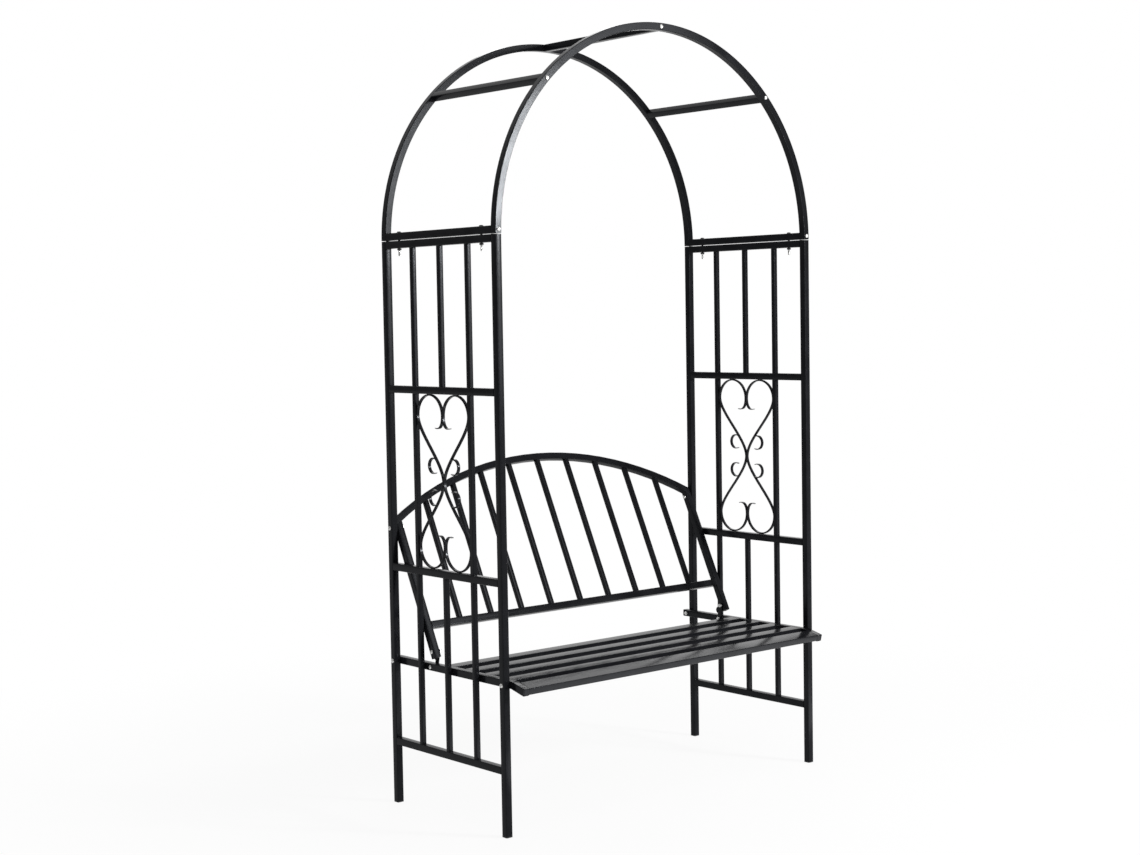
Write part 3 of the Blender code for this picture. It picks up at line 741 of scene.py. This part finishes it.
def add_thread(bm, start, length):
    """A screw thread along +Z: a closed ridge that runs round the core and fades at both ends."""
    total = int(length / THREAD_PITCH * SHANK_SIDES)
    rings = []
    for k in range(total + 1):
        angle = 2 * pi * k / SHANK_SIDES
        around = Vector((cos(angle), sin(angle), 0))
        height = start + THREAD_PITCH * k / SHANK_SIDES
        rise = min(1, k / THREAD_FADE, (total - k) / THREAD_FADE)
        crest = THREAD_ROOT + (SHANK_RADIUS - THREAD_ROOT) * rise + THREAD_LIFT
        rings.append([around * THREAD_ROOT + Z * (height - THREAD_FLANK),
                      around * crest + Z * (height - THREAD_LAND),
                      around * crest + Z * (height + THREAD_LAND),
                      around * THREAD_ROOT + Z * (height + THREAD_FLANK)])
    ring_rows(bm, rings)


def screw_bmesh(length, thread_from):
    """Head, plain shank and threaded end."""
    bm = pan_head()
    ring_rows(bm, [circle(SHANK_RADIUS, -SHANK_IN_HEAD, SHANK_SIDES),
                   circle(SHANK_RADIUS, thread_from, SHANK_SIDES),
                   circle(CORE_RADIUS, thread_from + CORE_STEP, SHANK_SIDES),
                   circle(CORE_RADIUS, length - POINT_LENGTH, SHANK_SIDES),
                   circle(CORE_RADIUS * POINT_SHARE, length, SHANK_SIDES)])
    add_thread(bm, thread_from + CORE_STEP / 2, length - POINT_LENGTH - CORE_STEP / 2 - thread_from)
    return bm


def hex_edge(angle, radius):
    """Distance from the middle to the side of a hexagon with its corners at a radius."""
    sector = pi / 3
    off = (angle % sector) - sector / 2
    return radius * cos(sector / 2) / cos(off)


def add_lock_nut(bm, seat):
    """Hexagon nut with chamfered corners and a plastic locking ring in a raised collar."""
    angles = [2 * pi * j / NUT_SIDES for j in range(NUT_SIDES)]
    body = [(NUT_FLATS * 0.985, 0), (NUT_RADIUS, NUT_CHAMFER), (NUT_RADIUS, NUT_HEIGHT * 0.66),
            (NUT_FLATS * 0.99, NUT_HEIGHT * 0.76)]
    collar = [(NUT_FLATS * 0.93, NUT_HEIGHT * 0.80), (NUT_FLATS * 0.90, NUT_HEIGHT * 0.95),
              (NUT_FLATS * 0.80, NUT_HEIGHT)]
    locking_ring = [(NUT_FLATS * 0.68, NUT_HEIGHT * 0.99), (SHANK_RADIUS * 1.02, NUT_HEIGHT * 0.93),
                    (SHANK_RADIUS * 0.98, NUT_HEIGHT * 0.80)]
    rings = []
    for limit, height in body + collar + locking_ring:
        reaches = [min(hex_edge(a, NUT_RADIUS), limit) for a in angles]
        rings.append([Vector((cos(a) * reach, sin(a) * reach, seat + height))
                      for a, reach in zip(angles, reaches)])
    rows = ring_rows(bm, rings, closed_ends=False)
    bm.faces.new(list(reversed(rows[0])))


def aimed(name):
    """Where a packed screw's head seats, which way its shank goes and how long it is."""
    low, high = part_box(name)
    middle = (low + high) / 2
    if name.endswith("foot_rail_bolt"):
        axis, seat, tip = -Z, high.z - HEAD_HEIGHT, low.z
        return Vector((middle.x, middle.y, seat)), axis, seat - tip
    if name.endswith("screw"):
        front = name.startswith("front")
        axis = Y if front else -Y
        seat = low.y + HEAD_HEIGHT if front else high.y - HEAD_HEIGHT
        tip = high.y if front else low.y
        return Vector((middle.x, seat, middle.z)), axis, abs(tip - seat)
    left = name.startswith("left")
    axis = X if left else -X
    seat = low.x + HEAD_HEIGHT if left else high.x - HEAD_HEIGHT
    tip = high.x if left else low.x
    return Vector((seat, middle.y, middle.z)), axis, abs(tip - seat)


def fasteners():
    """A detailed screw or bolt in place of each packed one."""
    bare_from = NUT_SEATS["foot_rail_bolt"] + NUT_HEIGHT * 0.9
    for i, name in enumerate(sorted(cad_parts)):
        if not name.endswith(("screw", "bolt")):
            continue
        seat, axis, length = aimed(name)
        bm = screw_bmesh(length, max(SHANK_LEAST, length - THREAD_LENGTH))
        for ending, grip in NUT_SEATS.items():
            if name.endswith(ending):
                add_lock_nut(bm, grip)
        black = name.endswith("foot_rail_bolt")
        for face in bm.faces:
            face.material_index = int(black and face.calc_center_median().z > bare_from)
        turn = Z.rotation_difference(axis).to_matrix().to_4x4()
        spin = Matrix.Rotation(SCREW_SPIN * i, 4, "Z")
        bmesh.ops.transform(bm, matrix=Matrix.Translation(seat) @ turn @ spin, verts=bm.verts)
        piece = add_piece("detailed_" + name, bm, BLACK_PLATE if black else ZINC_PLATE)
        piece.data.materials.append(ZINC_PLATE)
        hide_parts(name)


# Weld beads

def add_bead(bm, first, last, lift, seed):
    """A rippled weld bead that lies in the corner between two tubes."""
    along = last - first
    length = along.length
    way = along / length
    side = way.cross(lift).normalized()
    count = max(BEAD_LEAST_STEPS, int(length / BEAD_STEP))
    rings = []
    for k in range(count + 1):
        t = k / count
        middle = first + way * (length * t)
        ends = min(1, min(t, 1 - t) * length / BEAD_END_LENGTH + BEAD_END_SHARE)
        ripple = 1 + RIPPLE * sin(2 * pi * t * length / RIPPLE_PITCH + seed)
        wander = noise.noise(Vector((t * 6 + seed * 3.1, seed, 0.4))) * WANDER
        size = BEAD_RADIUS * ends * (ripple + wander)
        turns = [2 * pi * j / BEAD_SIDES for j in range(BEAD_SIDES)]
        rings.append([middle + side * size * cos(a) + lift * size * sin(a) for a in turns])
    ring_rows(bm, rings)


def joint_beads(bm, end, into, sides, along, half_side, half_along):
    """Beads in the corners where a tube, which runs off along into, ends on a face."""
    for way in sides:
        middle = end + way * half_side
        reach = along * (half_along - BAR_CORNER)
        seed = (middle.x * 7.3 + middle.y * 19.1 + middle.z * 31.7) % 5.0
        add_bead(bm, middle - reach, middle + reach, (way + into).normalized(), seed)


def add_scroll_tacks(bm, x, mid_y, pitch, levels):
    """Short tacks where the bent strips touch the bars, the rails and each other."""
    mid_z = (levels["upper"] + levels["lower"]) / 2
    top = (levels["upper"] - levels["lower"]) / 2 - TUBE / 2 - GAP
    side = pitch - BAR / 2
    radius = (side - STRIP_THICKNESS) / 2
    level = top - STRIP_THICKNESS / 2 - radius
    spots = [((0, 0), Z, PINCH_TACK)]
    for up in BOTH_WAYS:
        spots.append(((0, up * level), Z, HOOK_TACK))
        for out in BOTH_WAYS:
            spots.append(((out * side, up * level), Z, BAR_TACK))
            spots.append(((out * (side + STRIP_THICKNESS) / 2, up * top), Y, RAIL_TACK))
    for (across, up), along, reach in spots:
        middle = Vector((x, mid_y + across, mid_z + up))
        for way in (X, -X):
            face = middle + way * STRIP_WIDTH * TACK_IN_SHARE
            add_bead(bm, face - along * reach, face + along * reach, way, across * 40 + up)


def panel_welds(side):
    """Beads of one side panel: rails on posts, bars on rails and the scrolls on both."""
    x, mid_y, pitch, levels = panel_places(side)
    bm = bmesh.new()
    for z in levels.values():
        for way in BOTH_WAYS:
            end = Vector((x, mid_y + way * (2 * pitch - TUBE / 2), z))
            joint_beads(bm, end, -Y * way, (Z, -Z), X, TUBE / 2, TUBE / 2)
    for above, below, bars in (("top", "upper", (-1, 0, 1)), ("upper", "lower", (-1, 1)),
                               ("lower", "bottom", (-1, 0, 1))):
        for k in bars:
            y = mid_y + k * pitch
            for z, into in ((levels[above] - TUBE / 2, -Z), (levels[below] + TUBE / 2, Z)):
                joint_beads(bm, Vector((x, y, z)), into, (X, -X), Y, BAR / 2, BAR / 2)
    add_scroll_tacks(bm, x, mid_y, pitch, levels)
    add_piece(side + "_panel_welds", bm, WELD_COAT)


def backrest_at(x, up):
    """A place in the leaning plane of the backrest."""
    return BACKREST_FOOT + X * x + BACKREST_UP * up


def backrest_welds():
    """Beads of the backrest: bars on the rail and under the arc, and the rail on its stiles."""
    bm = bmesh.new()
    inner_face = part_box("backrest_grille")[1].x + GAP
    faces = (BACKREST_REAR, -BACKREST_REAR)
    for k in range(BACKREST_BARS):
        x = (2 * inner_face + BAR) / (BACKREST_BARS + 1) * (k - (BACKREST_BARS - 1) / 2)
        under = sqrt((BACKREST_RADIUS - TUBE / 2) ** 2 - x * x)
        slope = (Vector((under, 0, 0)) - BACKREST_UP * x).normalized()
        foot = backrest_at(x, BACKREST_RAIL_UP + TUBE / 2)
        head = backrest_at(x, BACKREST_PEAK - BACKREST_RADIUS + under)
        joint_beads(bm, foot, BACKREST_UP, faces, X, BAR / 2, BAR / 2)
        joint_beads(bm, head, -BACKREST_UP, faces, slope, BAR / 2, BAR / 2)
    for way in BOTH_WAYS:
        joint_beads(bm, backrest_at(way * inner_face, BACKREST_RAIL_UP), -X * way,
                    (BACKREST_UP, -BACKREST_UP), BACKREST_REAR, TUBE / 2, TUBE / 2)
    add_piece("backrest_welds", bm, WELD_COAT)


def seat_welds():
    """Beads under and beside each flat slat, where it ends on the seat rails."""
    bm = bmesh.new()
    for k in range(1, FLAT_SLATS + 1):
        low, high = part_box("seat_slat_" + str(k))
        y, half = (low.y + high.y) / 2, (high.y - low.y) / 2
        for way in BOTH_WAYS:
            end = Vector((way * (high.x + GAP), y, (low.z + high.z) / 2))
            joint_beads(bm, end, -X * way, (-Z,), Y, (high.z - low.z) / 2, half)
            joint_beads(bm, end, -X * way, (Y, -Y), Z, half, (high.z - low.z) / 2)
    add_piece("seat_welds", bm, WELD_COAT)


# Moulded plugs and flush caps in the open tube ends

def add_end_plug(name, end, outward, side, material=PLUG_PLASTIC):
    """A ribbed square plug, pushed in flush with the end of a tube."""
    half = TUBE / 2 - TUBE_WALL - PLUG_SLACK
    up = outward.cross(side).normalized()
    rings = []
    for depth, share in PLUG_PROFILE:
        ring = []
        for k in range(PLUG_SIDES):
            angle = 2 * pi * (k + 0.5) / PLUG_SIDES
            reach = half * share / max(abs(cos(angle)), abs(sin(angle)))
            reach = min(reach, half * share * PLUG_CORNER_SHARE)
            ring.append(end + outward * depth + side * reach * cos(angle) + up * reach * sin(angle))
        rings.append(ring)
    bm = bmesh.new()
    ring_rows(bm, rings)
    add_piece(name, bm, material)


def end_plugs():
    """Plugs in the seat rails' rear ends and the stiles' feet, and caps on the rails' noses."""
    for side in SIDES:
        low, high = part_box(side + "_seat_rail")
        x = (low.x + high.x) / 2
        add_end_plug(side + "_seat_rail_rear_plug", Vector((x, high.y, high.z - TUBE / 2)), Y, X)
        add_end_plug(side + "_seat_rail_nose_cap", Vector((x, NOSE_END.y, NOSE_END.z)),
                     NOSE_ALONG, X, COAT)
        add_end_plug(side + "_stile_plug", backrest_at(x, 0), -BACKREST_UP, X)


# Stage

def camera():
    """The photograph's camera."""
    forward = Vector((sin(CAMERA_YAW) * cos(CAMERA_PITCH), cos(CAMERA_YAW) * cos(CAMERA_PITCH),
                      -sin(CAMERA_PITCH)))
    right = Vector((cos(CAMERA_YAW), -sin(CAMERA_YAW), 0))
    down = forward.cross(right)
    image_right = right * cos(CAMERA_ROLL) + down * sin(CAMERA_ROLL)
    image_down = down * cos(CAMERA_ROLL) - right * sin(CAMERA_ROLL)
    data = bpy.data.cameras.new("camera")
    data.sensor_width = SENSOR_WIDTH
    data.lens = SENSOR_WIDTH * FOCAL_PIXELS / PICTURE_WIDTH
    item = bpy.data.objects.new("camera", data)
    turn = Matrix((image_right, -image_down, -forward)).transposed()
    item.matrix_world = Matrix.Translation(CAMERA_PLACE) @ turn.to_4x4()
    bpy.context.scene.collection.objects.link(item)
    bpy.context.scene.camera = item


def seen_or_mirrored(tree):
    """Light Path, and a mask of the rays that see the white room straight, mirrored or through."""
    path = place(tree, "ShaderNodeLightPath")
    seen = combine(tree, "MAXIMUM", path.outputs["Is Camera Ray"], path.outputs["Is Glossy Ray"])
    return path, combine(tree, "MAXIMUM", seen, path.outputs["Is Transmission Ray"])


def mix_shaders(tree, factor, first, second):
    """One shader fading into another by a factor."""
    join = place(tree, "ShaderNodeMixShader")
    tree.links.new(factor, join.inputs["Fac"])
    tree.links.new(first, join.inputs[1])
    tree.links.new(second, join.inputs[2])
    return join.outputs[0]


def floor():
    """A wide white floor that keeps a soft shadow and fades into the white backdrop."""
    bm = bmesh.new()
    ring_rows(bm, [circle(FLOOR_RADIUS, height, FLOOR_SIDES) for height in (-FLOOR_THICKNESS, 0.0)])
    mesh = bpy.data.meshes.new("floor")
    bm.to_mesh(mesh)
    bm.free()
    material = bpy.data.materials.new("white_floor")
    material.use_nodes = True
    tree = material.node_tree
    shader = tree.nodes["Principled BSDF"]
    shader.inputs["Base Color"].default_value = FLOOR_PAINT
    shader.inputs["Roughness"].default_value = 0.9
    shader.inputs["Specular IOR Level"].default_value = 0.0
    glow = place(tree, "ShaderNodeEmission", values={"Color": WHITE, "Strength": 1.0})
    seen = seen_or_mirrored(tree)[1]
    where = place(tree, "ShaderNodeTexCoord").outputs["Object"]
    far = place(tree, "ShaderNodeVectorMath", operation="LENGTH")
    tree.links.new(where, far.inputs[0])
    share = times(tree, seen, ramp(tree, far.outputs["Value"], SHADOW_REACH, FLOOR_GLOW))
    surface = mix_shaders(tree, share, shader.outputs["BSDF"], glow.outputs[0])
    tree.links.new(surface, tree.nodes["Material Output"].inputs["Surface"])
    mesh.materials.append(material)
    item = bpy.data.objects.new("floor", mesh)
    bpy.context.scene.collection.objects.link(item)


def softbox(name, centre, aim, width, height, power):
    """A soft rectangular lamp that the camera doesn't see."""
    data = bpy.data.lights.new(name, "AREA")
    data.shape = "RECTANGLE"
    data.size = width
    data.size_y = height
    data.energy = power
    item = bpy.data.objects.new(name, data)
    item.location = centre
    item.rotation_mode = "QUATERNION"
    item.rotation_quaternion = (Vector(aim) - Vector(centre)).to_track_quat("-Z", "Y")
    item.visible_camera = False
    bpy.context.scene.collection.objects.link(item)
    return item


def shade_from(lamp, piece):
    """Keep one lamp's light off a piece, as a black card between them would."""
    shaded = bpy.data.collections.new("shaded_from_" + lamp.name)
    shaded.objects.link(piece)
    lamp.light_linking.receiver_collection = shaded
    for entry in shaded.collection_objects:
        entry.light_linking.link_state = "EXCLUDE"


def studio():
    """White backdrop behind the bench, an unlit room on the camera's side and soft even light."""
    world = bpy.data.worlds.new("studio")
    world.use_nodes = True
    tree = world.node_tree
    tree.nodes.clear()
    path, seen = seen_or_mirrored(tree)
    even = place(tree, "ShaderNodeBackground", values={"Color": WHITE, "Strength": EVEN_LIGHT})
    white = place(tree, "ShaderNodeBackground", values={"Color": WHITE})
    facing = place(tree, "ShaderNodeVectorMath", operation="DOT_PRODUCT")
    facing.inputs[1].default_value = BACKDROP_WAY
    tree.links.new(place(tree, "ShaderNodeTexCoord").outputs["Generated"], facing.inputs[0])
    cove = ramp(tree, facing.outputs["Value"], COVE_EDGE, COVE_GLOW)
    strength = combine(tree, "MAXIMUM", cove, path.outputs["Is Camera Ray"])
    tree.links.new(strength, white.inputs["Strength"])
    result = place(tree, "ShaderNodeOutputWorld")
    tree.links.new(mix_shaders(tree, seen, even.outputs[0], white.outputs[0]),
                   result.inputs["Surface"])
    bpy.context.scene.world = world
    lamps = {lamp[0]: softbox(*lamp) for lamp in LAMPS}
    shade_from(lamps["leg_strip"], bpy.data.objects["smooth_back_arch"])
    bpy.context.scene.view_settings.view_transform = "Standard"


def main():
    """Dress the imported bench, then set up the photograph's camera, floor and lamps."""
    finish_packed_pieces()
    smooth_arches()
    fasteners()
    for side in SIDES:
        smooth_scroll_panel(side)
        panel_welds(side)
    backrest_welds()
    seat_welds()
    end_plugs()
    camera()
    floor()
    studio()


main()
